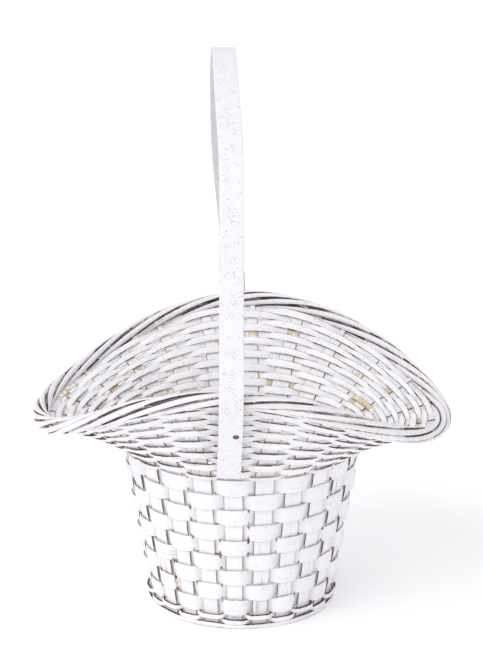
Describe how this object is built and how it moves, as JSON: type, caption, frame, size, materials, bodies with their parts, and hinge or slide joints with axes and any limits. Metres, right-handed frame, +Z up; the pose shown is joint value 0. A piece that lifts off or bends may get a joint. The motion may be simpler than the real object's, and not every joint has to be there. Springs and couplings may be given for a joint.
{
  "type": "flower girl basket",
  "caption": "Small white woven wedding basket: tapered chip-band pail, saddle-shaped flared brim with a twisted rim, and a tall nailed band handle; holds petals.",
  "frame": {"origin": "on the pail's axis at the floor, under the middle of the base board", "axes": "+Z up along the pail's axis; the brim is long in X; the handle runs from the front (-Y) to the back (+Y)"},
  "size_m": [0.2234, 0.2065, 0.3002],
  "materials": {
    "base_wood": "thin white paint over plywood",
    "painted_stake": "white paint over split wood, satin",
    "painted_chip": "white paint over chip wood, satin",
    "painted_cane": "white paint over round cane, satin",
    "painted_rim": "white paint over round cane, satin",
    "painted_handle": "white paint over bent wood, worn at the edges, satin",
    "rusty_nail": "rusty"
  },
  "bodies": {
    "root": {"base_board": "base_wood", "stake_01": "painted_stake", "stake_02": "painted_stake", "stake_03": "painted_stake", "stake_04": "painted_stake", "stake_05": "painted_stake", "stake_06": "painted_stake", "stake_07": "painted_stake", "stake_08": "painted_stake", "stake_09": "painted_stake", "stake_10": "painted_stake", "stake_11": "painted_stake", "stake_12": "painted_stake", "stake_13": "painted_stake", "stake_14": "painted_stake", "stake_15": "painted_stake", "stake_16": "painted_stake", "stake_17": "painted_stake", "stake_18": "painted_stake", "stake_19": "painted_stake", "stake_20": "painted_stake", "stake_21": "painted_stake", "stake_22": "painted_stake", "stake_23": "painted_stake", "stake_24": "painted_stake", "band_01": "painted_chip", "band_02": "painted_chip", "band_03": "painted_chip", "band_04": "painted_chip", "band_05": "painted_chip", "band_06": "painted_chip", "band_07": "painted_chip", "band_08": "painted_chip", "band_09": "painted_chip", "foot_cane_1": "painted_cane", "foot_cane_2": "painted_cane", "foot_cane_3": "painted_cane", "neck_cane": "painted_cane", "brim_row_01": "painted_cane", "brim_row_02": "painted_cane", "brim_row_03": "painted_cane", "brim_row_04": "painted_cane", "brim_row_05": "painted_cane", "brim_row_06": "painted_cane", "brim_row_07": "painted_cane", "brim_row_08": "painted_cane", "brim_row_09": "painted_cane", "brim_row_10": "painted_cane", "brim_row_11": "painted_cane", "brim_row_12": "painted_cane", "brim_row_13": "painted_cane", "rim_strand_1": "painted_rim", "rim_strand_2": "painted_rim", "rim_strand_3": "painted_rim", "rim_strand_4": "painted_rim", "rim_strand_5": "painted_rim", "rim_strand_6": "painted_rim", "handle": "painted_handle", "handle_nails": "rusty_nail"}
  },
  "joints": []
}
